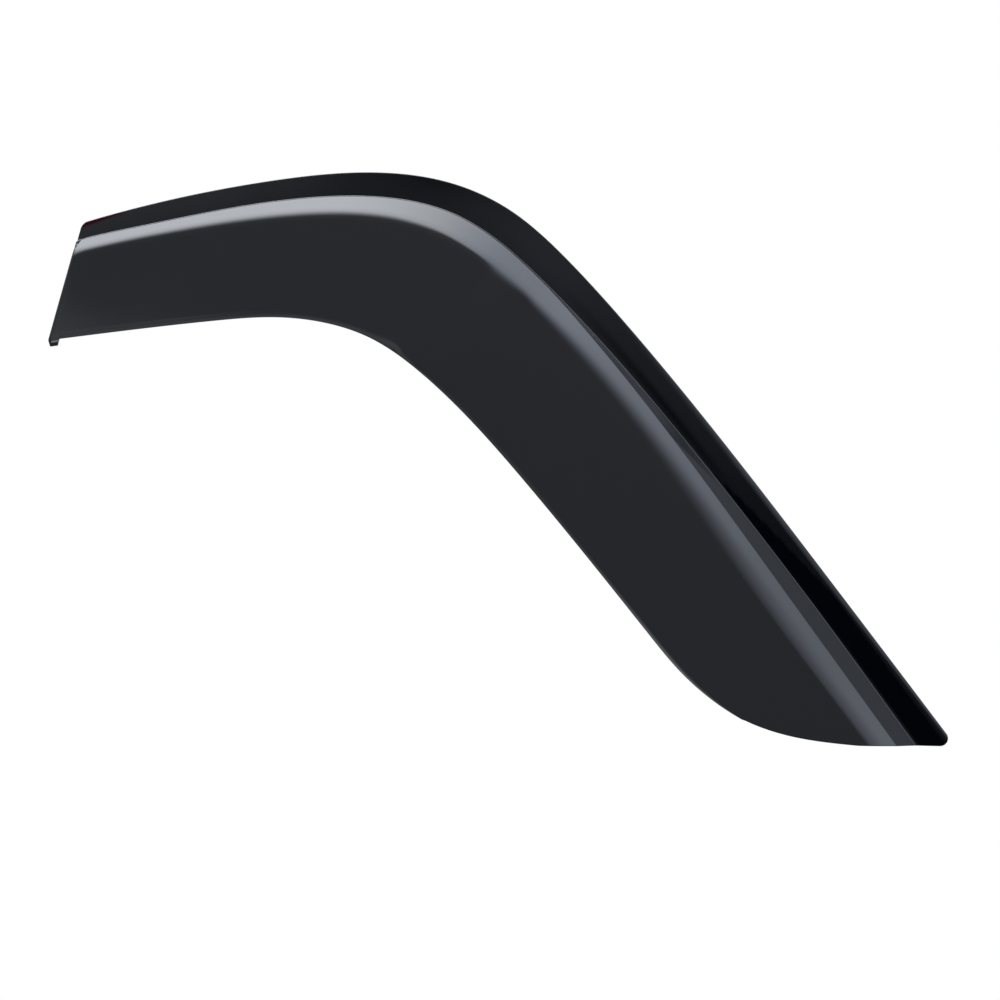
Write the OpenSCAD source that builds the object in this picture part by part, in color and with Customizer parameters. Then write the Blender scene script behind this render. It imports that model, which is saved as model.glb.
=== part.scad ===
// Window rain deflector for a rear side window, as it sits on the door.
// X runs along the door toward the tail, Z is up and -Y is the outside of the car.
// The origin lies on the door's skin, under the middle of the foam tape.
// "Distance" is measured from the outer edge into the panel, "rise" from the door outward,
// and "station" along the outer edge from the front end.

/* [Outer edge] */
// Length of the outer edge from the front corner to the unrounded tip
edge_len = 865; // [780:0.5:920]
// Direction in which the outer edge sets off, in degrees below level
edge_heading = -16.3; // [-22:0.1:-10]
// Bend radius over the roof run
roof_r = 1040; // [700:10:2000]
// Station where the roof run ends
roof_end = 150; // [110:1:180]
// Bend radius at the crown
crown_r = 292; // [240:1:400]
// Station of the crown
crown_at = 230; // [200:1:250]
// Bend radius going into the arch
arch_in_r = 170; // [160:1:220]
// Station where the arch is entered
arch_in_at = 285; // [270:1:300]
// Bend radius at the top of the arch, the tightest
arch_r = 161; // [152:1:200]
// Station of the top of the arch
arch_at = 335; // [325:1:345]
// Bend radius coming out of the arch
arch_out_r = 674; // [500:1:900]
// Station where the arch is left
arch_out_at = 385; // [375:1:400]
// Bend radius at the head of the pillar run
pillar_r = 2150; // [1400:10:4000]
// Station of the head of the pillar run
pillar_at = 460; // [440:1:500]
// Station from which the outer edge is straight
straight_at = 700; // [600:1:760]

/* [Free edge] */
// Length of the front end, from the outer edge to the free edge
front_w = 93.5; // [80:0.5:105]
// Direction of the front end, in degrees back from plumb
front_rake = 15.4; // [8:0.1:20]
// Length of the free edge, from the front end to the tail corner
lip_len = 650.5; // [600:0.5:690]
// Direction in which the free edge sets off, in degrees below level
lip_heading = -7; // [-9:0.1:-5]
// Place on the free edge where its roof run ends
lip_roof_end = 130; // [110:1:145]
// Bend radius of the free edge at the end of its roof run
lip_roof_r = 2110; // [1500:10:4000]
// Place on the free edge where it turns over
lip_turn_at = 175; // [165:1:185]
// Bend radius of the free edge there
lip_turn_r = 209; // [190:1:260]
// Place on the free edge under the crown
lip_crown_at = 215; // [205:1:225]
// Bend radius of the free edge there
lip_crown_r = 183; // [165:1:220]
// Place on the free edge under the arch
lip_arch_at = 245; // [238:1:255]
// Bend radius of the free edge there, its tightest
lip_arch_r = 118; // [105:1:150]
// Place on the free edge where it leaves the arch
lip_out_at = 290; // [280:1:305]
// Bend radius of the free edge there
lip_out_r = 368; // [300:1:500]
// Place on the free edge at the head of its pillar run
lip_pillar_at = 400; // [370:1:430]
// Bend radius of the free edge there
lip_pillar_r = 2350; // [1500:10:5000]
// Place on the free edge where it starts to sweep back to the tail
sweep_at = 555; // [535:1:565]
// Place on the free edge where the sweep has its full bend
sweep_full_at = 590; // [580:1:600]
// Bend radius of the sweep
sweep_r = 203; // [180:1:300]

/* [Flange] */
// Width of the flange at the front end
flange_front = 12.5; // [10:0.5:16]
// Width of the flange at its neck, a little way in
flange_neck = 15.5; // [13:0.5:18]
// Width of the flange at the end of the roof run
flange_roof = 16.5; // [14:0.5:20]
// Width of the flange at the crown
flange_crown = 19.1; // [15:0.1:22]
// Width of the flange going into the arch
flange_turn = 21.6; // [18:0.1:24]
// Width of the flange at the top of the arch
flange_arch = 24.5; // [20:0.1:28]
// Width of the flange coming out of the arch
flange_over = 25; // [20:0.1:28]
// Width of the flange at the head of the pillar run
flange_pillar = 22.7; // [18:0.1:26]
// Width of the flange halfway down the pillar
flange_slope = 21.3; // [18:0.1:26]
// Width of the flange at the tail
flange_tail = 24.2; // [18:0.1:28]
// Station of the neck
neck_at = 60; // [45:1:80]
// Width of the strip along the pillar where the flange's edge rolls toward the door
roll_w = 5.5; // [2:0.5:7]
// How far the rolled edge comes toward the door
roll_drop = 1; // [0:0.1:1]

/* [Step and shoulder] */
// Height of the step wall at the front end
wall_h_front = 7; // [5:0.5:9]
// Height of the step wall at the tail
wall_h_tail = 10; // [8:0.5:12]
// Draft of the upright step wall, as its lean over the wall's height
wall_draft = 0.6; // [0.3:0.1:1]
// Further lean of the step wall at the head of the pillar run
splay_pillar = 4.4; // [2:0.1:6]
// Further lean of the step wall halfway down the pillar
splay_slope = 11.3; // [8:0.1:14]
// Further lean of the step wall at the tail
splay_tail = 11.9; // [8:0.1:14]
// Station from which the step wall leans over
splay_from = 395; // [370:1:420]
// Width of the shoulder at the front end
shoulder_front = 8.6; // [8:0.1:12]
// Width of the shoulder at the neck
shoulder_neck = 8.9; // [8:0.1:13]
// Width of the shoulder at the end of the roof run
shoulder_roof = 12.1; // [10:0.1:15]
// Width of the shoulder at the crown
shoulder_crown = 15.1; // [12:0.1:18]
// Width of the shoulder going into the arch
shoulder_turn = 17.9; // [14:0.1:20]
// Width of the shoulder at the top of the arch
shoulder_arch = 18.3; // [14:0.1:20]
// Width of the shoulder coming out of the arch
shoulder_over = 14.5; // [12:0.1:18]
// Width of the shoulder at the head of the pillar run
shoulder_pillar = 10.1; // [9:0.1:15]
// Width of the shoulder halfway down the pillar
shoulder_slope = 13.6; // [11:0.1:16]
// Width of the shoulder at the tail
shoulder_tail = 14.3; // [12:0.1:18]
// Slope of the shoulder at the front end, in degrees to the door
slope_front = 33; // [26:1:40]
// Slope of the shoulder at the tail, in degrees to the door
slope_tail = 22; // [16:1:26]
// Radius of the crisp edge between step wall and shoulder
crest_r = 1; // [0.6:0.1:1.5]
// Radius at the foot of the step wall
root_r = 1; // [0.6:0.1:1.5]
// Radius of the bend from shoulder to face at the front end
bend_r_front = 14; // [8:0.5:18]
// Radius of that bend at the tail
bend_r_tail = 50; // [30:1:60]
// Slope of the face, in degrees to the door
face_slope = 2; // [0:0.1:4]

/* [Sheet and ends] */
// Thickness of the moulding
sheet_t = 2.5; // [2:0.1:3]
// Outer radius of the bend into the returned front end
end_r = 2; // [1:0.1:2.5]
// How far the top of the returned end leans back beside the shoulder
end_lean = 4.6; // [0:0.1:4.6]
// Clearance of the returned end from the door
end_gap = 0.3; // [0.2:0.1:1]
// Width of the small foot at the lower front corner
foot_w = 9; // [9:0.1:14]
// Height of the foot below the free edge
foot_h = 4.6; // [3.5:0.1:6]
// How much narrower the foot is at its tip, on its front side
foot_taper = 2.5; // [0:0.1:3]
// Radius of the flange's front corner
corner_r = 9; // [4:0.5:10]
// Radius of the tip
tip_r = 6; // [4:0.1:9]
// Rise of the tail cut from the tip toward the tail corner, in degrees
tail_rise = 1.6; // [-1:0.1:4]
// Rise of the cut at the tail corner itself, in degrees
tail_end_rise = 17; // [8:1:20]
// Belly of the tail cut, between the shoulder and the tail corner
tail_belly = 4.2; // [0:0.1:8]

/* [Tape] */
// Width of the foam tape
tape_w = 8; // [6:0.5:8]
// Thickness of the foam tape
tape_t = 1.1; // [0.8:0.1:1.6]
// Distance from the outer edge to the tape along most of its length
tape_edge = 4.2; // [4.2:0.1:4.6]
// Distance from the outer edge to the tape at its front end
tape_edge_front = 1.2; // [0.8:0.1:4]
// Length over which the tape runs from the one to the other
tape_drift = 90; // [40:1:140]
// How far the tape stops short of the front corner and of the tip
tape_stop = 24; // [18:1:40]
// Thickness of the liner on the tape
liner_t = 0.12; // [0.08:0.01:0.2]
// Clearance between the flange, the tape and the liner
seat_gap = 0.02; // [0.01:0.01:0.05]

/* [Door] */
// Radius of the door's curve from sill to roof
door_r = 2800; // [2000:50:6000]
// Radius of the door's curve along the car
bow_r = 6000; // [4000:100:12000]

/* [Fineness] */
// Number of sections along the panel
sections = 84; // [60:1:90]

/* [Hidden] */

// Curvature of the two edges by distance along them, and the places of the section laws
EDGE_TURN = [
    [0, 1 / roof_r], [roof_end, 1 / roof_r], [crown_at, 1 / crown_r],
    [arch_in_at, 1 / arch_in_r], [arch_at, 1 / arch_r], [arch_out_at, 1 / arch_out_r],
    [pillar_at, 1 / pillar_r], [straight_at, 0]];
LIP_TURN = [
    [0, 0], [lip_roof_end, 1 / lip_roof_r], [lip_turn_at, 1 / lip_turn_r],
    [lip_crown_at, 1 / lip_crown_r], [lip_arch_at, 1 / lip_arch_r],
    [lip_out_at, 1 / lip_out_r], [lip_pillar_at, 1 / lip_pillar_r],
    [sweep_at, 0], [sweep_full_at, -1 / sweep_r]];
PLACES = [0, neck_at, roof_end, crown_at, arch_in_at, arch_at, arch_out_at, pillar_at + 40,
    straight_at, edge_len];
FLANGES = [flange_front, flange_neck, flange_roof, flange_crown, flange_turn, flange_arch,
    flange_over, flange_pillar, flange_slope, flange_tail];
SHOULDERS = [shoulder_front, shoulder_neck, shoulder_roof, shoulder_crown, shoulder_turn,
    shoulder_arch, shoulder_over, shoulder_pillar, shoulder_slope, shoulder_tail];
SPLAY_PLACES = [splay_from, pillar_at + 40, straight_at, edge_len];
SPLAYS = [0, splay_pillar, splay_slope, splay_tail];
STEPS = 240;

// Distance of the tape's centre line from the outer edge
TAPE_MID = tape_edge + tape_w / 2;
FLANGE_RISE = tape_t + seat_gap;

// The trimmed edges are broken: half the thickness down, and this far across the sheet's plane
EDGE_ROUND = sheet_t / 2;
EDGE_DEPTH = 0.5;

// A smooth step from 0 at a to 1 at b
function ramp(s, a, b) =
    let (u = min(max((s - a) / (b - a), 0), 1)) u * u * (3 - 2 * u);

function mix(a, b, u) = a * (1 - u) + b * u;

// Slope of a law at place i, from its neighbours
function law_slope(x, v, i) =
    let (a = max(i - 1, 0), b = min(i + 1, len(x) - 1)) (v[b] - v[a]) / (x[b] - x[a]);

// A smooth law through the values v at the places x: a cubic between each two places
function law(s, x, v, i = 0) =
    i < len(x) - 2 && s > x[i + 1] ? law(s, x, v, i + 1)
    : let (h = x[i + 1] - x[i],
           u = min(max((s - x[i]) / h, 0), 1),
           a = law_slope(x, v, i) * h,
           b = law_slope(x, v, i + 1) * h,
           rise = v[i + 1] - v[i])
      v[i] + u * (a + u * (3 * rise - 2 * a - b + u * (a + b - 2 * rise)));

// Points [x, z, heading] along a curve whose curvature is given by distance in turns
function curve(start, heading, length, turns) =
    let (step = length / STEPS)
    [for (i = 0, p = start, a = heading, turn = step * lookup(step / 2, turns) * 180 / PI;
          i <= STEPS;
          p = p + step * [cos(a + turn / 2), -sin(a + turn / 2)],
          a = a + turn,
          i = i + 1,
          turn = step * lookup((i + 0.5) * step, turns) * 180 / PI)
        [p.x, p.y, a]];

// The entry of such a list at distance s, running straight on past both ends
function at(line, length, s) =
    let (u = s / length * STEPS,
         i = min(max(floor(u), 0), STEPS - 1))
    mix(line[i], line[i + 1], u - i);

function ahead(p) = [cos(p[2]), -sin(p[2])];
function inward(p) = [-sin(p[2]), -cos(p[2])];
function place(p) = [p.x, p.y];

// The outer edge is laid out from its front corner, then moved so that the tape's middle is the origin
RAW_EDGE = curve([0, 0], edge_heading, edge_len, EDGE_TURN);
RAW_MID = RAW_EDGE[STEPS / 2];
SHIFT = place(RAW_MID) + TAPE_MID * inward(RAW_MID);
EDGE = [for (p = RAW_EDGE) p - [SHIFT.x, SHIFT.y, 0]];
CORNER = place(EDGE[0]);
FRONT_DOWN = [-sin(front_rake), -cos(front_rake)];
FRONT_IN = [cos(front_rake), -sin(front_rake)];
TAIL_AWAY = [-cos(tail_end_rise), sin(tail_end_rise)];
LIP = curve(CORNER + front_w * FRONT_DOWN, lip_heading, lip_len, LIP_TURN);

function edge_point(s, d) = let (p = at(EDGE, edge_len, s)) place(p) + d * inward(p);

// Angles by which the front end and the tail cut lean from square across the outer edge
FRONT_SKEW = front_rake - edge_heading;
TAIL_SKEW = 90 - EDGE[STEPS][2] + tail_rise;

// Stations at which a line at distance d meets a cut, with the corner there rounded to r
function cut_offset(d, skew, r, wide) =
    let (reach = r * tan(wide / 2),
         last = reach * cos(skew))
    d < last ? reach - sqrt(max(r * r - pow(r - d, 2), 0))
    : -d * tan(skew);
function front_cut(d) = cut_offset(d, FRONT_SKEW, corner_r, 90 - FRONT_SKEW);
function tail_cut(d) = edge_len - cut_offset(d, -TAIL_SKEW, tip_r, 90 + TAIL_SKEW);

// Points of an arc of radius r that rounds the corner b of the path a, b, c
function fillet(a, b, c, r, n) =
    let (h1 = atan2(b.y - a.y, b.x - a.x),
         h2 = atan2(c.y - b.y, c.x - b.x),
         side = sign(h2 - h1),
         start = b - r * tan(abs(h2 - h1) / 2) * [cos(h1), sin(h1)],
         centre = start + side * r * [-sin(h1), cos(h1)])
    [for (k = [0 : n - 1])
        let (h = mix(h1, h2, k / (n - 1))) centre + side * r * [sin(h), -cos(h)]];

// The corner b of the path a, b, c moved t to the path's door side
function behind(a, b, c, t) =
    let (h1 = atan2(b.y - a.y, b.x - a.x),
         h2 = atan2(c.y - b.y, c.x - b.x),
         n1 = [sin(h1), -cos(h1)],
         n2 = [sin(h2), -cos(h2)])
    b + t * (n1 + n2) / (1 + n1 * n2);

// Shares of the flange's width at which the section has points
FLANGE_SHARES = [0, 0.04, 0.1, 0.2, 0.32, 0.44, 0.56, 0.8];

// One skin of the section at station s, as [distance, rise], from the outer edge to the bend's end.
// The front skin has depth 0 and the back skin lies sheet_t behind it.
function skin(s, depth) =
    let (along = s / edge_len,
         slope = mix(slope_front, slope_tail, along),
         splay = law(s, SPLAY_PLACES, SPLAYS),
         top = FLANGE_RISE + sheet_t,
         edge = [0, top],
         root = [law(s, PLACES, FLANGES), top],
         crest = root + [wall_draft + splay, mix(wall_h_front, wall_h_tail, along)],
         bend = crest + law(s, PLACES, SHOULDERS) * [1, tan(slope)],
         far = bend + 100 * [cos(face_slope), sin(face_slope)],
         root2 = behind(edge, root, crest, depth),
         crest2 = behind(root, crest, bend, depth),
         bend2 = behind(crest, bend, far, depth),
         edge2 = edge - [0, depth],
         far2 = far + depth * [sin(face_slope), -cos(face_slope)],
         foot_arc = fillet(edge2, root2, crest2, root_r, 3),
         roll = roll_drop * splay / splay_tail)
    concat(
        [for (q = FLANGE_SHARES)
            let (d = mix(EDGE_DEPTH, foot_arc[0].x, q))
            [d, root2.y - roll * pow(max(1 - d / roll_w, 0), 2)]],
        foot_arc,
        fillet(root2, crest2, bend2, crest_r, 3),
        fillet(crest2, bend2, far2, mix(bend_r_front, bend_r_tail, along) - depth, 6));

// Index of the first crest point and of the bend's end in a skin, and the points across the face
CREST_AT = len(FLANGE_SHARES) + 3;
BEND_END = CREST_AT + 8;
FACE_SHARES = [0.2, 0.4, 0.6, 0.8, 1];
SKIN_LEN = BEND_END + 1 + len(FACE_SHARES);

// Where the sections cross the free edge
LIP_PLACES = [0, crown_at, arch_at, pillar_at, 650, edge_len];
LIP_MEETS = [0, lip_arch_at + 3, lip_arch_at + 39, 368, lip_len - 101, lip_len];

// Reach of the two ends' slant into the panel, as shares of its length
FRONT_FAN = 0.3;
TAIL_FAN = 0.6;
function front_share(t) = pow(max(1 - t / FRONT_FAN, 0), 2);
function tail_share(t) = pow(max((t - TAIL_FAN) / (1 - TAIL_FAN), 0), 2);

// Shape of the belly across the face: 0 at both sides and 1 where it is fullest
function belly(g) = g * (1 - g * g) * 3 * sqrt(3) / 2;

// Inner radius of the bend into the returned end
INNER_END_R = 0.6;
// How far the returned end's foot stands out of its top
END_FLARE = 0.2;
// Distance from the front end's plane at which the panel proper starts, just past the bend
END_CLEAR = 0.3;
END_START = sheet_t + INNER_END_R + end_lean + END_CLEAR;
EDGE_LEAN = 1 / (ahead(EDGE[0]) * FRONT_IN);
LIP_LEAN = 1 / (ahead(LIP[0]) * FRONT_IN);

// Station of the line that lies at distances d, d_front and d_tail at share t and at both ends
function line_station(t, d_front, d_tail) =
    t * edge_len + front_share(t) * (front_cut(d_front) + END_START * EDGE_LEAN)
    - tail_share(t) * (edge_len - tail_cut(d_tail));

FRONT_SKINS = [skin(0, 0), skin(0, sheet_t)];
TAIL_SKINS = [skin(edge_len, 0), skin(edge_len, sheet_t)];
EDGE_ARC = [45, 90, 135];
LIP_ARC = [30, 60, 90, 120, 150];
// Angle and depth in the sheet of the points round the foot
FOOT_ARC = [[30, 0], [60, 0], [90, 0], [90, sheet_t], [45, sheet_t]];

// Places on the free edge between which the foot ends, clear of the returned end's bend
FOOT_END = max(foot_w, END_START * LIP_LEAN + END_CLEAR);
FOOT_EDGE = 0.5;

// Share of the length at which the section crosses the free edge at distance s from the front end
function share_at(s) =
    (s - END_START * LIP_LEAN)
    / (edge_len * law_slope(LIP_PLACES, LIP_MEETS, 0) - 2 * END_START * LIP_LEAN / FRONT_FAN);

// Plan place and rise [x, z, rise] of every point round the section at share t of the length
function ring(t) =
    let (skins = [skin(t * edge_len, 0), skin(t * edge_len, sheet_t)],
         lip_s = law(t * edge_len, LIP_PLACES, LIP_MEETS) + front_share(t) * END_START * LIP_LEAN,
         lip = at(LIP, lip_len, lip_s),
         lip_square = inward(lip),
         lip_out = mix(mix(lip_square, FRONT_DOWN / (FRONT_DOWN * lip_square), front_share(t)),
             TAIL_AWAY / (TAIL_AWAY * lip_square), tail_share(t)),
         lip_in = place(lip) - EDGE_DEPTH * lip_out,
         rim = [for (k = [0, 1])
             [for (j = [0 : BEND_END])
                 let (q = skins[k][j],
                      s = line_station(t, FRONT_SKINS[k][j].x, TAIL_SKINS[k][j].x),
                      p = edge_point(s, q.x))
                 [p.x, p.y, q.y]]],
         hinge = rim[0][BEND_END],
         square = inward(at(EDGE, edge_len, line_station(t, FRONT_SKINS[0][BEND_END].x,
             TAIL_SKINS[0][BEND_END].x))),
         lip_rise = hinge[2] + ((lip_in - place(hinge)) * square) * tan(face_slope),
         face = [for (k = [0, 1])
             let (from = rim[k][BEND_END],
                  to = [lip_in.x, lip_in.y, lip_rise - k * sheet_t])
             [for (g = FACE_SHARES)
                 mix(from, to, g) - [0, tail_belly * tail_share(t) * belly(g), 0]]],
         foot = ramp(lip_s, FOOT_END + FOOT_EDGE, FOOT_END),
         round_edge = [for (a = LIP_ARC)
             let (p = lip_in + EDGE_DEPTH * sin(a) * lip_out)
             [p.x, p.y, lip_rise - EDGE_ROUND * (1 - cos(a))]],
         foot_edge = [for (m = FOOT_ARC)
             let (r = foot_h + EDGE_DEPTH - m[1],
                  p = lip_in + r * sin(m[0]) * lip_out)
             [p.x, p.y, lip_rise - m[1] - r * (1 - cos(m[0]))]],
         edge_top = skins[0][0].y)
    concat(
        rim[0], face[0],
        [for (m = [0 : 4]) mix(round_edge[m], foot_edge[m], foot)],
        [for (j = [SKIN_LEN - 1 : -1 : 0]) j > BEND_END ? face[1][j - BEND_END - 1] : rim[1][j]],
        [for (a = EDGE_ARC)
            let (d = EDGE_DEPTH * (1 - sin(a)),
                 p = edge_point(line_station(t, d, d), d))
            [p.x, p.y, edge_top - EDGE_ROUND * (1 + cos(a))]]);

// How deep in the sheet each point of a ring lies at the returned end: 0 on its outside, 1 inside
RING_LEN = 2 * SKIN_LEN + len(LIP_ARC) + len(EDGE_ARC);
function ring_depth(j) =
    j < SKIN_LEN + 3 ? 0
    : j < RING_LEN - len(EDGE_ARC) - len(FLANGE_SHARES) - 1 ? 1
    : 0;

// How far the returned end's top leans back at each point of a ring: most at the crest, less at
// the bend and not at all from the middle of the face on
LEANS = [[CREST_AT - 1, 0], [CREST_AT, 1], [CREST_AT + 2, 1], [CREST_AT + 3, 0.35],
    [BEND_END, 0.25], [BEND_END + 3, 0]];
function ring_lean(j) =
    let (k = j < SKIN_LEN ? j : RING_LEN - len(EDGE_ARC) - 1 - j) end_lean * lookup(k, LEANS);

// How far the foot's points stand back from the front end, more toward its tip
function ring_taper(j) =
    let (m = j - SKIN_LEN)
    m < 0 || m >= len(FOOT_ARC) ? 0 : foot_taper * sin(FOOT_ARC[m][0]);

// Points on the flange keep their rise at the returned end
function on_flange(j) =
    let (k = j < SKIN_LEN ? j : RING_LEN - len(EDGE_ARC) - 1 - j) k <= len(FLANGE_SHARES);

// Points up to the foot of the step wall meet the returned end without its bend
function on_root(j) =
    let (k = j < SKIN_LEN ? j : RING_LEN - len(EDGE_ARC) - 1 - j) k < CREST_AT;

// One ring of the returned front end: a turns from 0 to 90 through the bend, and more is its foot
function end_ring(start, a) =
    [for (j = [0 : RING_LEN - 1])
        let (p = start[j],
             deep = ring_depth(j),
             r = on_root(j) ? 0 : deep > 0 ? INNER_END_R : end_r,
             low = on_flange(j) ? p[2] : end_gap,
             to = a > 90 ? deep * sheet_t - END_FLARE
                : deep * sheet_t + r * (1 - sin(a)) + ring_lean(j),
             way = j > BEND_END && j < RING_LEN - BEND_END - len(EDGE_ARC) ? LIP_WAY : EDGE_WAY,
             q = place(p) + (to + ring_taper(j) - END_START) * way)
        [q.x, q.y, a > 90 ? low : max(low, p[2] - r * (1 - cos(a)))]];
EDGE_WAY = ahead(EDGE[0]) * EDGE_LEAN;
LIP_WAY = ahead(LIP[0]) * LIP_LEAN;

// Puts a plan place and rise on the curved door
function on_door(p) = [p[0], p[1] * p[1] / (2 * door_r) + p[0] * p[0] / (2 * bow_r) - p[2], p[1]];

// A closed solid through rings of equal length, capped by strips between matching points
module loft(rings, caps) {
    n = len(rings[0]);
    last = (len(rings) - 1) * n;
    polyhedron(
        points = [for (ring = rings) for (p = ring) on_door(p)],
        faces = concat(
            [for (i = [0 : len(rings) - 2]) for (j = [0 : n - 1])
                let (a = i * n + j, b = i * n + (j + 1) % n)
                each [[a, a + n, b], [b, a + n, b + n]]],
            [for (c = caps) c],
            [for (c = caps) [for (k = [len(c) - 1 : -1 : 0]) c[k] + last]]));
}

// The moulded shell
module visor() {
    start = ring(0);
    rings = concat(
        [for (a = [99, 90, 60, 30, 0]) end_ring(start, a)],
        [start, ring(share_at(FOOT_END)), ring(share_at(FOOT_END + FOOT_EDGE))],
        [for (i = [1 : sections]) ring(i / sections)]);
    inner = SKIN_LEN + len(LIP_ARC);
    color([0.12, 0.13, 0.15])
        loft(rings, concat(
            [for (k = [0 : SKIN_LEN - 2])
                let (m = RING_LEN - len(EDGE_ARC) - 1 - k)
                each [[k, k + 1, m - 1], [k, m - 1, m]]],
            [for (k = [SKIN_LEN - 1 : inner - 2]) [k, k + 1, inner]],
            [for (k = [1 : len(EDGE_ARC)])
                [0, RING_LEN - k - 1, RING_LEN - k]]));
}

// A strip that follows the flange's back between two rises
module strip(low, high) {
    from = tape_stop;
    to = edge_len - tape_stop;
    loft(
        [for (i = [0 : sections])
            let (s = mix(from, to, i / sections),
                 d = mix(tape_edge_front, tape_edge, ramp(s, from, from + tape_drift)),
                 a = edge_point(s, d),
                 b = edge_point(s, d + tape_w))
            [[a.x, a.y, high], [b.x, b.y, high], [b.x, b.y, low], [a.x, a.y, low]]],
        [[0, 1, 2], [0, 2, 3]]);
}

// Double-sided foam tape on the flange's back
module foam_tape() {
    color([0.25, 0.26, 0.27]) strip(0, tape_t);
}

// Red release film on the tape's door side
module tape_liner() {
    color([0.7, 0.06, 0.08]) strip(-seat_gap - liner_t, -seat_gap);
}

visor();
foam_tape();
tape_liner();
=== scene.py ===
import bmesh
import bpy
import numpy as np
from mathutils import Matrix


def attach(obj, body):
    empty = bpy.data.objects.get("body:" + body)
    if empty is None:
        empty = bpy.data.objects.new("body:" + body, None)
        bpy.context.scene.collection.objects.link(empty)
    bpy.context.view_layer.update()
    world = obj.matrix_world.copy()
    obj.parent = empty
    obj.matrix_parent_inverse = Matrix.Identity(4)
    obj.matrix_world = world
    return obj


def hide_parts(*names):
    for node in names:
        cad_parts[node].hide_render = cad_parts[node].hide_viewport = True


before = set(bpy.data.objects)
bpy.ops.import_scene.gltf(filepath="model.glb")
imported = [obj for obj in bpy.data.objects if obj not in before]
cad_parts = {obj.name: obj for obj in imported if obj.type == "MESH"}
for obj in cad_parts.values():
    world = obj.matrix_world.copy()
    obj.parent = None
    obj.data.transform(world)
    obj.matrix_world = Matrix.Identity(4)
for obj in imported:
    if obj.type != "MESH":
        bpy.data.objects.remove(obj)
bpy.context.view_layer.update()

# The visor is one sheet of smoked acrylic, 2.5 mm thick, formed hot and trimmed. Its plan lies between
# two edges: the outer edge, where it is bonded to the door, and the free edge over the window.
# Both are drawn by their bend along the way. Sizes are in millimetres until the mesh is made.
MM = 0.001
edge_len = 865
edge_heading = -16.3
edge_places = [0, 150, 230, 285, 335, 385, 460, 700]
edge_radii = [1040, 1040, 292, 170, 161, 674, 2150, np.inf]
front_w = 93.5
front_rake = 15.4
lip_len = 650.5
lip_heading = -7
lip_places = [0, 130, 175, 215, 245, 290, 400, 555, 590]
lip_radii = [np.inf, 2110, 209, 183, 118, 368, 2350, np.inf, -203]
tail_rise = 1.6
tail_end_rise = 17
tail_belly = 4.2
tape_w = 8
tape_t = 1.1
tape_edge = 4.2
seat_gap = 0.02
drawn_before = 60.0
drawn_step = 0.5


def summed(values, s):
    """Integral of values over s, counted from s = 0, by the trapezoid rule."""
    total = np.concatenate([[0.0], np.cumsum((values[1:] + values[:-1]) / 2 * np.diff(s))])
    return total - np.interp(0.0, s, total)


def drawn_edge(heading, length, places, radii, start=(0.0, 0.0)):
    """Plan of an edge by distance s. Its bend, 1 / radius, runs evenly from place to place. The heading is
    the first one plus the integral of the bend, and the place the integral of the heading's direction."""
    s = np.arange(-drawn_before, length + 1.0, drawn_step)
    turned = np.radians(heading) + summed(np.interp(s, places, 1 / np.array(radii, float)), s)
    x = start[0] + summed(np.cos(turned), s)
    z = start[1] - summed(np.sin(turned), s)
    return s, x, z, turned


def on_edge(edge, s, d=0.0):
    """Plan place (x, z) at distance s along an edge and d square to it, into the panel."""
    h = np.interp(s, edge[0], edge[3])
    x = np.interp(s, edge[0], edge[1]) - d * np.sin(h)
    z = np.interp(s, edge[0], edge[2]) - d * np.cos(h)
    return np.stack([x, z], -1)


def inward(edge, s):
    """Unit direction square to an edge at distance s, into the panel: (-sin, -cos) of the heading."""
    h = np.interp(s, edge[0], edge[3])
    return np.stack([-np.sin(h), -np.cos(h)], -1)


def forward(edge, s):
    """Unit direction along an edge at distance s: (cos, -sin) of the heading."""
    h = np.interp(s, edge[0], edge[3])
    return np.stack([np.cos(h), -np.sin(h)], -1)


# The origin is under the middle of the tape, so the outer edge is drawn from there
first_draft = drawn_edge(edge_heading, edge_len, edge_places, edge_radii)
tape_middle = on_edge(first_draft, edge_len / 2, tape_edge + tape_w / 2)
outer_edge = drawn_edge(edge_heading, edge_len, edge_places, edge_radii, -tape_middle)
front_down = np.array([-np.sin(np.radians(front_rake)), -np.cos(np.radians(front_rake))])
front_in = np.array([-front_down[1], front_down[0]])
free_edge = drawn_edge(lip_heading, lip_len, lip_places, lip_radii,
                       on_edge(outer_edge, 0.0) + front_w * front_down)
tail_away = np.array([-np.cos(np.radians(tail_end_rise)), np.sin(np.radians(tail_end_rise))])

# Across, the sheet is a flat bonding flange, a step wall, a sloped shoulder and a nearly flat face.
# Each size changes smoothly from the front end by the crown, arch and pillar to the tail.
sheet_t = 2.5
edge_round = sheet_t / 2
edge_depth = 0.5
section_places = [0, 60, 150, 230, 285, 335, 385, 500, 700, edge_len]
flange_widths = [12.5, 15.5, 16.5, 19.1, 21.6, 24.5, 25, 22.7, 21.3, 24.2]
shoulder_widths = [8.6, 8.9, 12.1, 15.1, 17.9, 18.3, 14.5, 10.1, 13.6, 14.3]
shoulder_slopes = (33, 22)
wall_heights = (7, 10)
wall_draft = 0.6
splay_places = [395, 500, 700, edge_len]
wall_splays = [0, 4.4, 11.3, 11.9]
bend_radii = (14, 50)
small_r = 1
face_slope = 2
roll_w = 5.5
roll_drop = 1
corner_r = 9
tip_r = 6


def smoothstep(x, a, b):
    """Rises from 0 at a to 1 at b as u * u * (3 - 2 * u)."""
    u = np.clip((x - a) / (b - a), 0, 1)
    return u * u * (3 - 2 * u)


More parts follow.
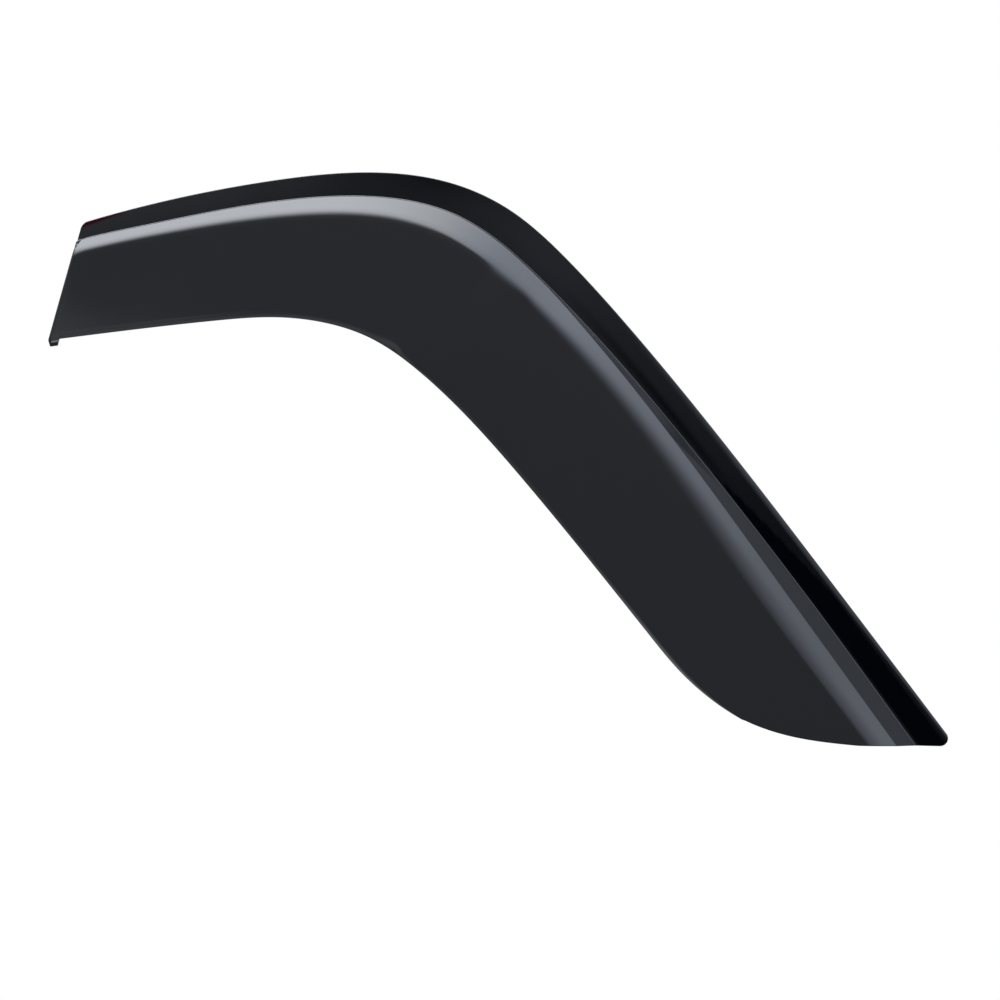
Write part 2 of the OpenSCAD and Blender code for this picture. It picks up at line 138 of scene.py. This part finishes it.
def law(s, places, values):
    """Smooth law through values at places: a cubic between each two, which leaves a place with the slope
    between that place's two neighbours."""
    places, values = np.array(places, float), np.array(values, float)
    last = len(places) - 1
    before, after = np.clip([np.arange(last + 1) - 1, np.arange(last + 1) + 1], 0, last)
    slope = (values[after] - values[before]) / (places[after] - places[before])
    i = np.clip(np.searchsorted(places, s, side="right") - 1, 0, last - 1)
    h = places[i + 1] - places[i]
    u = np.clip((s - places[i]) / h, 0, 1)
    a, b, rise = slope[i] * h, slope[i + 1] * h, values[i + 1] - values[i]
    return values[i] + u * (a + u * (3 * rise - 2 * a - b + u * (a + b - 2 * rise)))


def headings(a, b, c):
    """Headings of the two legs of each path a, b, c, as angles in the section's plane."""
    return [np.arctan2(q[..., 1] - p[..., 1], q[..., 0] - p[..., 0]) for p, q in ((a, b), (b, c))]


def fillet(a, b, c, r, n):
    """n points of the arc of radius r that rounds the corner b of each path a, b, c: the arc starts
    r * tan(turn / 2) before b and turns about a centre r to the side that the path turns to."""
    h1, h2 = headings(a, b, c)
    side = np.sign(h2 - h1)
    leg = np.stack([np.cos(h1), np.sin(h1)], -1)
    start = b - (r * np.tan(abs(h2 - h1) / 2))[:, None] * leg
    centre = start + (side * r)[:, None] * np.stack([-leg[:, 1], leg[:, 0]], -1)
    h = h1[:, None] + (h2 - h1)[:, None] * np.linspace(0, 1, n)
    return centre[:, None] + (side * r)[:, None, None] * np.stack([np.sin(h), -np.cos(h)], -1)


def behind(a, b, c, t):
    """The corner b of each path a, b, c, moved by t toward the door, so that both legs move t."""
    h1, h2 = headings(a, b, c)
    n1, n2 = (np.stack([np.sin(h), -np.cos(h)], -1) for h in (h1, h2))
    return b + t * (n1 + n2) / (1 + (n1 * n2).sum(-1, keepdims=True))


def between(a, b, n):
    """n points spaced evenly on the straight from a to b, without its ends."""
    u = (np.arange(n) + 1.0)[:, None] / (n + 1)
    return a[:, None] + u * (b - a)[:, None]


# Points of one skin across, from the outer edge: flange, root, wall, crest, shoulder and bend
flange_n, root_n, wall_n, crest_n, shoulder_n, bend_n, face_n = 15, 5, 3, 9, 7, 17, 14
flange_shares = (np.arange(flange_n) / flange_n) ** 1.5
wall_at = flange_n + root_n
crest_at = wall_at + wall_n
shoulder_at = crest_at + crest_n
bend_at = shoulder_at + shoulder_n
rim_n = bend_at + bend_n
skin_n = rim_n + face_n


def skin(s, depth):
    """Distance from the outer edge and rise from the door of the skin that lies depth behind the front,
    at each station s, from the outer edge to the end of the bend: straights joined by arcs."""
    along = s / edge_len
    splay = law(s, splay_places, wall_splays)
    pair = lambda x, y: np.stack(np.broadcast_arrays(x, y), -1).astype(float)
    slope = np.radians(shoulder_slopes[0] + along * (shoulder_slopes[1] - shoulder_slopes[0]))
    tilt = np.radians(face_slope)
    edge = pair(0 * s, tape_t + seat_gap + sheet_t)
    root = edge + pair(law(s, section_places, flange_widths), 0)
    crest = root + pair(wall_draft + splay,
                        wall_heights[0] + along * (wall_heights[1] - wall_heights[0]))
    bend = crest + law(s, section_places, shoulder_widths)[:, None] * pair(1, np.tan(slope))
    far = bend + 100 * np.array([np.cos(tilt), np.sin(tilt)])
    root2 = behind(edge, root, crest, depth)
    crest2 = behind(root, crest, bend, depth)
    bend2 = behind(crest, bend, far, depth)
    edge2 = edge - [0, depth]
    far2 = far + depth * np.array([np.sin(tilt), -np.cos(tilt)])
    root_arc = fillet(edge2, root2, crest2, small_r + 0 * s, root_n)
    crest_arc = fillet(root2, crest2, bend2, small_r + 0 * s, crest_n)
    bend_arc = fillet(crest2, bend2, far2,
                      bend_radii[0] + along * (bend_radii[1] - bend_radii[0]) - depth, bend_n)
    d = edge_depth + flange_shares * (root_arc[:, :1, 0] - edge_depth)
    roll = roll_drop * splay / wall_splays[-1] * law(s, [600, 760], [1, 0.62])
    rolled = roll[:, None] * np.maximum(1 - d / roll_w, 0) ** 2
    flange = pair(d, root2[:, 1:] - rolled)
    return np.concatenate([flange, root_arc, between(root_arc[:, -1], crest_arc[:, 0], wall_n), crest_arc,
                           between(crest_arc[:, -1], bend_arc[:, 0], shoulder_n), bend_arc], 1)


# The sheet ends on two slants. Each line along it is shortened or lengthened near the ends, by shares
# that fade into the panel, so that it meets the raked front end and the flat tail cut.
front_fan = 0.3
tail_fan = 0.6
inner_end_r = 0.6
end_r = 2
end_lean = 4.6
end_gap = 0.3
end_flare = 0.2
end_draft = 0.03
facet_slope = 0.4
foot_end_h = 3
end_clear = 0.3
end_start = sheet_t + inner_end_r + end_lean + end_clear
meet_places = [0, 230, 335, 460, 650, edge_len]
meet_lips = [0, 248, 284, 368, lip_len - 101, lip_len]
foot_w = 9
foot_edge = 0.5
foot_h = 4.6
foot_taper = 2.5


def cut_offset(d, skew, r):
    """How far the cut that leans by skew has moved along the edge at distance d: -d * tan(skew), but for
    the corner at d = 0, which an arc of radius r rounds."""
    reach = r * np.tan(np.radians(90 - skew) / 2)
    rounded = reach - np.sqrt(np.maximum(r * r - (r - d) ** 2, 0))
    return np.where(d < reach * np.cos(np.radians(skew)), rounded, -d * np.tan(np.radians(skew)))


def front_share(t):
    """How much of the front end's slant is felt at share t of the length: (1 - t / fan) squared."""
    return np.maximum(1 - t / front_fan, 0) ** 2


def tail_share(t):
    """How much of the tail cut's slant is felt at share t of the length."""
    return np.maximum((t - tail_fan) / (1 - tail_fan), 0) ** 2


def stations(t, d_front, d_tail):
    """Station on the outer edge of each line, by its distances d_front and d_tail at the two ends."""
    front = cut_offset(d_front, front_rake - edge_heading, corner_r) + end_start * edge_lean
    tail = cut_offset(d_tail, -tail_skew, tip_r)
    return t * edge_len + front_share(t) * front - tail_share(t) * tail


def lip_stations(t):
    """Place on the free edge that the section at share t of the length reaches."""
    return law(t * edge_len, meet_places, meet_lips) + front_share(t) * end_start * lip_lean


edge_way = forward(outer_edge, 0.0)
lip_way = forward(free_edge, 0.0)
edge_lean = 1 / (edge_way @ front_in)
lip_lean = 1 / (lip_way @ front_in)
tail_skew = 90 - np.degrees(np.interp(edge_len, outer_edge[0], outer_edge[3])) + tail_rise

# Sections are closest at the little foot, and 2.6 mm apart along the rest
many_shares = np.linspace(0, 0.2, 2001)
foot_end = max(foot_w, end_start * lip_lean + end_clear)
foot_stops = np.concatenate([np.linspace(end_start * lip_lean, foot_end, 5),
                             np.linspace(foot_end, foot_end + foot_edge, 6)[1:],
                             np.linspace(foot_end + foot_edge, foot_end + 5, 6)[1:]])
foot_shares = np.interp(foot_stops, lip_stations(many_shares), many_shares)
shares = np.concatenate([foot_shares, np.linspace(foot_shares[-1], 1, 325)[1:]])
t = shares[:, None]

skins = [skin(shares * edge_len, depth) for depth in (0, sheet_t)]
ends = [[skin(np.array([s]), depth)[:, :, 0] for s in (0.0, edge_len)] for depth in (0, sheet_t)]
rims = []
for across, (d_front, d_tail) in zip(skins, ends):
    plan = on_edge(outer_edge, stations(t, d_front, d_tail), across[..., 0])
    rims.append(np.concatenate([plan, across[..., 1:]], -1))

lip_s = lip_stations(shares)
lip_square = inward(free_edge, lip_s)
lip_out = lip_square
for way, share in ((front_down, front_share(t)), (tail_away, tail_share(t))):
    lip_out = lip_out + share * (way / (lip_square @ way)[:, None] - lip_out)
lip_in = on_edge(free_edge, lip_s) - edge_depth * lip_out
hinge = rims[0][:, -1]
hinge_s = stations(shares, ends[0][0][0, -1], ends[0][1][0, -1])
fall = ((lip_in - hinge[:, :2]) * inward(outer_edge, hinge_s)).sum(-1) * np.tan(np.radians(face_slope))
lip_rise = hinge[:, 2] + fall

# The face runs straight from the bend to the free edge, with the tail cut's belly added at the tail
u = ((np.arange(face_n) + 1) / face_n)[:, None]
belly = tail_belly * u * (1 - u * u) * 3 * np.sqrt(3) / 2
faces = []
for depth, rim in zip((0, sheet_t), rims):
    far = np.concatenate([lip_in, (lip_rise - depth)[:, None]], -1)
    face = rim[:, -1:] + u * (far - rim[:, -1])[:, None]
    face[..., 1] -= tail_share(t) * belly[:, 0]
    faces.append(face)


def lip_arc(angles, reach, fall, depth):
    """Points from the face's end round the free edge: reach * sin out and fall * (1 - cos) down."""
    plan = lip_in[:, None] + (reach * np.sin(angles))[:, None] * lip_out[:, None]
    rise = lip_rise[:, None] - depth - fall * (1 - np.cos(angles))
    return np.concatenate([plan, np.broadcast_to(rise, plan.shape[:2])[..., None]], -1)


lip_n = 9
foot_outer_n = 6
round_lip = lip_arc(np.radians(np.arange(1, lip_n + 1) * 18), edge_depth + np.zeros(lip_n), edge_round,
                    np.zeros(lip_n))
foot_depth = np.where(np.arange(lip_n) < foot_outer_n, 0, sheet_t)
foot_angles = np.radians([15, 30, 45, 60, 75, 90, 90, 60, 30])
foot_r = foot_h + edge_depth - foot_depth
foot_lip = lip_arc(foot_angles, foot_r, foot_r, foot_depth)
foot = 1 - smoothstep(lip_s, foot_end, foot_end + foot_edge)[:, None, None]
lip = round_lip + foot * (foot_lip - round_lip)

edge_n = 7
edge_angles = np.radians(np.arange(1, edge_n + 1) * 180 / (edge_n + 1))
edge_d = edge_depth * (1 - np.sin(edge_angles))
edge_plan = on_edge(outer_edge, stations(t, edge_d, edge_d), edge_d)
edge_rise = skins[0][:, :1, 1] - edge_round * (1 + np.cos(edge_angles))
edge_arc = np.concatenate([edge_plan, edge_rise[..., None]], -1)

rings = np.concatenate([rims[0], faces[0], lip, faces[1][:, ::-1], rims[1][:, ::-1], edge_arc], 1)
ring_n = rings.shape[1]

# The front end is returned toward the door: the section turns down through a small bend and stops just
# clear of the paint. Beside the shoulder a low facet leans back from the end, and the flange and the
# foot keep free ends of their own.
k = np.concatenate([np.arange(skin_n), np.full(lip_n, skin_n), np.arange(skin_n)[::-1], np.zeros(edge_n)])
inside = np.concatenate([np.zeros(skin_n + foot_outer_n), np.ones(lip_n - foot_outer_n + skin_n),
                         np.zeros(edge_n)]) * (k > flange_n)
lean = end_lean * np.interp(k, [wall_at - 1, crest_at, shoulder_at, bend_at, rim_n, rim_n + face_n / 2],
                            [0, 0.9, 0.7, 0.08, 0.04, 0])
taper = foot_taper * np.concatenate([np.zeros(skin_n), foot_r * np.sin(foot_angles) / foot_r.max(),
                                     np.zeros(skin_n + edge_n)])
turn_r = np.where(inside > 0, inner_end_r, end_r) * np.clip((k - wall_at + 1) / (wall_n + 1), 0, 1)
way = np.where((k >= rim_n)[:, None], lip_way * lip_lean, edge_way * edge_lean)
top = rings[0, :, 2]
low = np.where(k > flange_n, end_gap, top)
low = np.where(k == skin_n, np.maximum(end_gap, top - foot_end_h), low)
back = inside * sheet_t
facet_h = np.maximum(facet_slope * lean, foot_end_h * smoothstep(k, shoulder_at, bend_at))
knee = np.maximum(top - facet_h, low)
foot_back, knee_back = (back + end_draft * (h - end_gap) for h in (low, knee))
profile = [np.stack(point, -1) for point in (
    (foot_back - end_flare, low), (knee_back, knee), (knee_back + lean, top),
    (back + lean + 2 * end_start, top))]
turned = fillet(*profile[1:], turn_r, 8)
end_rings = [
    np.column_stack([rings[0, :, :2] + (point[:, :1] + taper[:, None] - end_start) * way, point[:, 1]])
    for point in (*profile[:2], *turned.swapaxes(0, 1))]

# The tail is trimmed and its two edges are broken, so the last rings draw in toward the sheet's middle
trim_r = 0.5
middle = ring_n - (edge_n + 1) // 2
partner = (2 * middle - np.arange(ring_n)) % ring_n
ways = rings[-1] - rings[-3]
ways /= np.linalg.norm(ways, axis=1)[:, None]
across = rings[-1][partner] - rings[-1]
across /= np.maximum(np.linalg.norm(across, axis=1), 2 * trim_r)[:, None]
tail_rings = [rings[-1] - trim_r * (1 - np.sin(a)) * ways + trim_r * (1 - np.cos(a)) * across
              for a in np.radians([0, 22, 45, 68, 90])]
whole = np.stack(end_rings + list(rings[:-1]) + [rings[-1] - 2 * trim_r * ways] + tail_rings)

# The door that it lies on bulges from sill to roof and bows along the car
door_r = 2800
bow_r = 6000


def on_door(points):
    """Frame place of plan places and rises (x, z, rise): y is z^2 / (2 R) + x^2 / (2 B) less the rise."""
    x, z, rise = points[..., 0], points[..., 1], points[..., 2]
    return np.stack([x, z * z / (2 * door_r) + x * x / (2 * bow_r) - rise, z], -1) * MM


def grid_faces(rows, columns, closed=True):
    """Quads between neighbouring rows of a grid of points, each row a ring if closed."""
    i = np.arange(rows - 1)[:, None] * columns
    j = np.arange(columns if closed else columns - 1)
    a, b = i + j, i + (j + 1) % columns
    return np.stack([a, b, b + columns, a + columns], -1).reshape(-1, 4)


def solid(name, points, faces, smooth_angle=35):
    """A closed mesh object at the origin, its doubles merged, its faces outward and smooth but for edges
    sharper than smooth_angle degrees."""
    mesh = bpy.data.meshes.new(name)
    mesh.from_pydata(points.reshape(-1, 3), [], faces)
    work = bmesh.new()
    work.from_mesh(mesh)
    bmesh.ops.remove_doubles(work, verts=work.verts, dist=1e-7)
    bmesh.ops.recalc_face_normals(work, faces=work.faces)
    work.to_mesh(mesh)
    work.free()
    mesh.shade_smooth()
    mesh.set_sharp_from_angle(angle=np.radians(smooth_angle))
    piece = bpy.data.objects.new(name, mesh)
    bpy.context.scene.collection.objects.link(piece)
    return piece


half = np.arange(ring_n // 2)
cap = np.stack([middle + half, middle + half + 1, middle - half - 1, middle - half], -1) % ring_n
walls = grid_faces(len(whole), ring_n).tolist()
caps = [list(dict.fromkeys(quad)) for start in (0, (len(whole) - 1) * ring_n)
        for quad in (cap + start).tolist()]
visor = solid("visor_shell", on_door(whole), walls + caps)


def linear(code):
    """Linear colour of an sRGB hex code: c / 12.92 up to 0.04045, else ((c + 0.055) / 1.055) ^ 2.4."""
    c = np.array([int(code[i:i + 2], 16) for i in (1, 3, 5)]) / 255
    return (*np.where(c <= 0.04045, c / 12.92, ((c + 0.055) / 1.055) ** 2.4).tolist(), 1.0)


def add(tree, kind, sockets=None, **settings):
    """Adds a node to a tree. The settings are its properties. Each entry of sockets is a value for that
    socket or another node's output, which is linked to it."""
    made = tree.nodes.new(kind)
    for name, value in settings.items():
        setattr(made, name, value)
    for name, value in (sockets or {}).items():
        if isinstance(value, bpy.types.NodeSocket):
            tree.links.new(value, made.inputs[name])
        else:
            made.inputs[name].default_value = value
    return made


def material(name):
    """An empty material and its node tree."""
    made = bpy.data.materials.new(name)
    made.use_nodes = True
    made.node_tree.nodes.clear()
    return made, made.node_tree


def finish_material(piece, made, surface):
    """Puts a material whose shader is surface on a piece."""
    output = made.node_tree.nodes.new("ShaderNodeOutputMaterial")
    made.node_tree.links.new(surface.outputs[0], output.inputs["Surface"])
    piece.data.materials.clear()
    piece.data.materials.append(made)


def point_values(piece, name, values):
    """Stores one number for each point of a piece's mesh."""
    layer = piece.data.attributes.new(name, "FLOAT", "POINT")
    layer.data.foreach_set("value", values.astype(np.float32))


# Smoked acrylic, PMMA with a black dye, polished by the form: nearly black, with a cool cast, and a
# high gloss that waves a little. Painted shade and painted reflection lie on the flange: it is painted
# darker, to near black toward the tail, with a dark streak near the wall's root and a lighter strip by
# its outer edge on the slope. The red film's end shows as a maroon edge at the front corner.
smoke = linear("#27292D")
# Near black, for the painted shade and painted reflection on the flange
painted_shade_black = linear("#030408")
film_glow = linear("#2A0910")
acrylic, tree = material("smoked acrylic, formed and polished")

count = len(visor.data.vertices)
places = np.empty(count * 3)
visor.data.vertices.foreach_get("co", places)
visor_xz = places.reshape(-1, 3)[:, [0, 2]] / MM
edge_s = np.linspace(-8, edge_len, 1200)
edge_xz = on_edge(outer_edge, edge_s)
nearest = np.concatenate([((part[:, None] - edge_xz) ** 2).sum(-1).argmin(1)
                          for part in np.array_split(visor_xz, 60)])
near_s = edge_s[nearest]
near_d = ((visor_xz - edge_xz[nearest]) * inward(outer_edge, near_s)).sum(-1)
flange_end = law(near_s, section_places, flange_widths)
on_flange = 1 - smoothstep(near_d, flange_end - 0.5, flange_end + 0.5)
# Painted shade and painted reflection on the flange, as a share of near black: darker along the way and
# across, a dark streak near the wall's root, black toward the tail and a lighter strip by the outer edge
painted_shade_tone = law(near_s, [0, 106, 136, 167, 197, 227, 273, 322, 380, 424, 470, 565, 614, 664],
           [0, 0, 0.15, 0.2, 0.42, 0.52, 0.6, 0.36, 0.17, 0.3, 0.45, 0.6, 0.74, 0.8])
painted_shade_tone += law(near_s, [167, 227, 273, 350], [0, 0.15, 0.3, 0]) * (0.5 - near_d / flange_end)
streak_d, streak_w = 17.5, 3
painted_dark_streak = (law(near_s, [400, 440, 517, 565, 614], [0, 0.2, 0.35, 0.25, 0])
          * np.exp(-((near_d - streak_d) / streak_w) ** 2))
black_from = law(near_s, [560, 614, 664, 714], [24, 14.5, 8.5, 3])
black = smoothstep(near_d, black_from, black_from + 2.5)
painted_light_strip = law(near_s, [480, 600, 690], [0, 0.8, 0.15]) * (1 - smoothstep(near_d, 1, 5.2))
point_values(visor, "flange_painted_shade", on_flange * np.maximum(painted_shade_tone + painted_dark_streak, black) * (1 - painted_light_strip))
glow_w = 4.2 * (1 - smoothstep(near_s, -10, 60))
point_values(visor, "film_glow", 1 - smoothstep(near_d, glow_w - 1, glow_w + 0.3))

coords = add(tree, "ShaderNodeTexCoord")
waves = add(tree, "ShaderNodeTexNoise", {"Vector": coords.outputs["Object"], "Scale": 60.0, "Detail": 1.0})
haze = add(tree, "ShaderNodeTexNoise", {"Vector": coords.outputs["Object"], "Scale": 14.0, "Detail": 4.0})
gloss = add(tree, "ShaderNodeMapRange", {"Value": haze.outputs["Fac"], "From Min": 0.3, "From Max": 0.7,
                                         "To Min": 0.07, "To Max": 0.1})
wavy = add(tree, "ShaderNodeBump", {"Height": waves.outputs["Fac"], "Strength": 0.2, "Distance": 0.00002})
# The flange's painted shade and painted reflection, read from the points
flange_painted_shade = add(tree, "ShaderNodeAttribute", attribute_name="flange_painted_shade")
glow = add(tree, "ShaderNodeAttribute", attribute_name="film_glow")
body_colour = add(tree, "ShaderNodeMix", {0: flange_painted_shade.outputs["Fac"], 6: smoke, 7: painted_shade_black}, data_type="RGBA")
tinted = add(tree, "ShaderNodeMix", {0: glow.outputs["Fac"], 6: body_colour.outputs[2], 7: film_glow},
             data_type="RGBA")
surface = add(tree, "ShaderNodeBsdfPrincipled", {
    "Base Color": tinted.outputs[2], "Roughness": gloss.outputs["Result"], "IOR": 1.49,
    "Normal": wavy.outputs["Normal"]})
finish_material(visor, acrylic, surface)
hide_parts("visor")
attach(visor, "root")

# The bonding tape is a strip of grey closed-cell foam, die cut, with a film of adhesive on both sides.
# It is pressed onto the flange's back. Its sides are a little hollow, because the foam shrinks back
# between the adhesive films, and the cut cells show on them as pits, whose centres are painted darker:
# painted shade in the pits.
tape_edge_front = 1.2
tape_drift = 90
tape_stop = 24
side_hollow = 0.06
tape_s = np.linspace(tape_stop, edge_len - tape_stop, 420)
tape_from = tape_edge_front + (tape_edge - tape_edge_front) * smoothstep(tape_s, tape_stop,
                                                                          tape_stop + tape_drift)


def strip(name, low, high, hollow):
    """Closed strip under the flange between two rises. Its sides curve in by hollow * 4 * v * (1 - v)."""
    u = np.linspace(0, 1, 6)
    v = np.linspace(0, 1, 5)[1:-1]
    pinch = hollow * 4 * v * (1 - v)
    d = tape_from[:, None] + np.concatenate([tape_w * u, tape_w - pinch, tape_w * u[::-1], pinch])
    rise = np.concatenate([0 * u + high, high + v * (low - high), 0 * u + low, low + v * (high - low)])
    points = np.concatenate([on_edge(outer_edge, tape_s[:, None], d),
                             np.broadcast_to(rise, d.shape)[..., None]], -1)
    columns = d.shape[1]
    start = list(range(columns))
    end = [i + (len(tape_s) - 1) * columns for i in start]
    return solid(name, on_door(points), grid_faces(len(tape_s), columns).tolist() + [start, end])


foam = strip("foam_strip", 0.0, tape_t, side_hollow)
foam_colour = linear("#3B3C3E")
pit_shade_colour = linear("#242526")
cell_size = 0.35 * MM
foam_finish, tree = material("closed-cell foam tape")
coords = add(tree, "ShaderNodeTexCoord")
cells = add(tree, "ShaderNodeTexVoronoi", {"Vector": coords.outputs["Object"], "Scale": 1 / cell_size})
# The cells' centres are painted darker: painted shade in their pits, which the bump below hollows
shade = add(tree, "ShaderNodeMix", {0: cells.outputs["Distance"], 6: pit_shade_colour, 7: foam_colour},
            data_type="RGBA")
pits = add(tree, "ShaderNodeBump", {"Height": cells.outputs["Distance"], "Strength": 0.6,
                                    "Distance": 0.1 * MM})
surface = add(tree, "ShaderNodeBsdfPrincipled", {"Base Color": shade.outputs[2], "Roughness": 0.85,
                                                 "IOR": 1.45, "Normal": pits.outputs["Normal"]})
finish_material(foam, foam_finish, surface)
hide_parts("foam_tape")
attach(foam, "root")

# The release liner is a red polyethylene film, 0.12 mm thick, laid over the tape's adhesive and peeled
# off when the deflector is fitted. It is glossy and a little puckered across by the bends of the tape.
liner_t = 0.12
liner = strip("liner_film", -seat_gap - liner_t, -seat_gap, 0)
film_red = linear("#B4141C")
pucker_size = 9 * MM
film, tree = material("red polyethylene release film")
coords = add(tree, "ShaderNodeTexCoord")
puckers = add(tree, "ShaderNodeTexNoise", {"Vector": coords.outputs["Object"], "Scale": 1 / pucker_size,
                                           "Detail": 2.0, "Distortion": 0.6})
relief = add(tree, "ShaderNodeBump", {"Height": puckers.outputs["Fac"], "Strength": 0.5,
                                      "Distance": 0.3 * MM})
surface = add(tree, "ShaderNodeBsdfPrincipled", {"Base Color": film_red, "Roughness": 0.28, "IOR": 1.51,
                                                 "Normal": relief.outputs["Normal"]})
finish_material(liner, film, surface)
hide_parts("tape_liner")
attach(liner, "root")

# The floor is a plain pale sheet some way under the deflector, too short to come into the main view.
# Glossy surfaces don't mirror it, so the free edges stay dark.
floor_z = -0.75
floor_size = 1.9
floor_mesh = bpy.data.meshes.new("floor")
corners = floor_size / 2 * np.array([[-1, -1], [1, -1], [1, 1], [-1, 1]])
floor_mesh.from_pydata([(a, b, floor_z) for a, b in corners], [], [(0, 1, 2, 3)])
floor = bpy.data.objects.new("floor", floor_mesh)
bpy.context.scene.collection.objects.link(floor)
paint, tree = material("matt white floor")
surface = add(tree, "ShaderNodeBsdfPrincipled", {"Base Color": linear("#F2F2F2"), "Roughness": 0.9})
finish_material(floor, paint, surface)
floor.visible_glossy = False

# A large soft lamp high at the front gives the floor its shadow and half the plain light.
lamp_data = bpy.data.lights.new("key", "AREA")
lamp_data.shape = "RECTANGLE"
lamp_data.size = 2.4
lamp_data.size_y = 1.6
lamp_data.energy = 42
lamp = bpy.data.objects.new("key", lamp_data)
lamp.location = (-0.4, -1.95, 1.9)
lamp.rotation_euler = (np.radians(44), 0, np.radians(-12))
lamp.visible_camera = False
lamp.visible_glossy = False
bpy.context.scene.collection.objects.link(lamp)

# The world is white to the camera. Glossy surfaces see the same white behind the object and, in front,
# a dark room with one long, cool softbox above, which fades toward its inner side and dims and turns
# bluer to the right, a faint fill low at the left and a low light for the foot's bend. Places in it are
# degrees from the view axis and of turn from straight up. Matt surfaces see an even light.
matt_level = 0.62
box_left, box_right = linear("#F4F8FF"), linear("#E5EEFF")
world = bpy.data.worlds.new("studio")
bpy.context.scene.world = world
world.use_nodes = True
tree = world.node_tree
tree.nodes.clear()
coords = add(tree, "ShaderNodeTexCoord")
way = add(tree, "ShaderNodeSeparateXYZ", {"Vector": coords.outputs["Generated"]})


def maths(operation, a, b=0.0):
    """Output of a math node."""
    return add(tree, "ShaderNodeMath", {0: a, 1: b}, operation=operation).outputs[0]


def span(value, a, b, low=0.0, high=1.0, kind="LINEAR"):
    """Output that runs from low at value a to high at value b."""
    return add(tree, "ShaderNodeMapRange", {"Value": value, "From Min": a, "From Max": b, "To Min": low,
                                            "To Max": high}, interpolation_type=kind).outputs["Result"]


def course(value, places, values):
    """Output that runs straight through the values at the places: a colour ramp times the largest value."""
    ramp = add(tree, "ShaderNodeValToRGB", {"Fac": span(value, places[0], places[-1])})
    stops = ramp.color_ramp.elements
    for place, level in zip(places, values):
        share = (place - places[0]) / (places[-1] - places[0])
        stop = stops[0] if share == 0 else stops[-1] if share == 1 else stops.new(share)
        stop.color = (*[level / max(values)] * 3, 1.0)
    return maths("MULTIPLY", ramp.outputs["Color"], max(values))


polar = maths("DEGREES", maths("ARCCOSINE", maths("MULTIPLY", way.outputs["Y"], -1.0)))
turn = maths("DEGREES", maths("ARCTAN2", way.outputs["X"], way.outputs["Z"]))
level = course(turn, [-60, -28, -8, 0, 12, 35, 41, 47, 52, 68, 75, 80, 100, 110],
               [0, 9.8, 10.6, 9.8, 8, 4.7, 4.05, 4.25, 3.35, 2.3, 2.3, 2.75, 2.75, 0])
inner_dark = course(turn, [-60, 0, 12, 30, 36, 41, 48, 58, 110], [33, 33, 36, 34.5, 28, 16, 8, 3, 5])
inner_full = course(turn, [-60, -10, 12, 28, 41, 48, 58, 110], [60, 60, 50, 46, 42, 43, 52, 60])
inner_dim = course(turn, [-60, 34, 42, 110], [0.75, 0.78, 1, 1])
outer_full = course(turn, [-60, -44, -36, 20, 45, 110], [104, 104, 84, 84, 60, 60])
outer_dark = course(turn, [-60, -44, -36, 20, 45, 110], [114, 114, 92, 92, 74, 74])
band = maths("MULTIPLY", span(polar, inner_dark, inner_full, kind="SMOOTHSTEP"),
             span(polar, outer_full, outer_dark, 1.0, 0.0, kind="SMOOTHSTEP"))
box_light = maths("MULTIPLY", maths("MULTIPLY", level, band), span(polar, 40.0, 70.0, inner_dim, 1.0))
room = maths("MULTIPLY", span(polar, 20.0, 80.0, 0.02, 0.5), span(way.outputs["Z"], -0.05, 0.25))
fill = maths("MULTIPLY", course(turn, [-150, -136, -72, -64], [0, 0.5, 0.6, 0]),
             maths("MULTIPLY", span(polar, 12.0, 17.0), span(polar, 22.0, 30.0, 1.0, 0.0)))
foot_light = maths("MULTIPLY", course(turn, [-180, -172, -166, -158, -150, -140], [0.3, 1.3, 4, 4.6, 3, 0]),
                   maths("MULTIPLY", span(polar, 18.0, 34.0), span(polar, 46.0, 66.0, 1.0, 0.0)))
behind_object = span(way.outputs["Y"], 0.7, 0.97, kind="SMOOTHSTEP")
in_front = maths("ADD", box_light, maths("ADD", room, maths("ADD", fill, foot_light)))
seen = maths("ADD", in_front, behind_object)
path = add(tree, "ShaderNodeLightPath")
matt = maths("ADD", maths("MULTIPLY", path.outputs["Is Diffuse Ray"], matt_level),
             maths("MULTIPLY", path.outputs["Is Glossy Ray"], seen))
white = maths("MAXIMUM", path.outputs["Is Camera Ray"], path.outputs["Is Transmission Ray"])
cool_share = maths("MULTIPLY", path.outputs["Is Glossy Ray"], maths("SUBTRACT", 1.0, behind_object))
box_colour = add(tree, "ShaderNodeMix", {0: span(turn, 18.0, 36.0), 6: box_left, 7: box_right},
                 data_type="RGBA")
sky_colour = add(tree, "ShaderNodeMix", {0: cool_share, 6: linear("#FFFFFF"), 7: box_colour.outputs[2]},
                 data_type="RGBA")
sky = add(tree, "ShaderNodeBackground", {"Color": sky_colour.outputs[2],
                                         "Strength": maths("ADD", matt, white)})
add(tree, "ShaderNodeOutputWorld", {"Surface": sky.outputs["Background"]})

# The camera looks square on, from 2.2 m, as in the photograph.
camera_distance = 2.2
eye = bpy.data.cameras.new("camera")
eye.lens = 104.94
eye.sensor_width = 36
camera = bpy.data.objects.new("camera", eye)
camera.location = (-0.07329, -camera_distance, -0.14528)
camera.rotation_euler = (np.radians(90), 0, 0)
bpy.context.scene.collection.objects.link(camera)
bpy.context.scene.camera = camera
bpy.context.scene.view_settings.view_transform = "Standard"
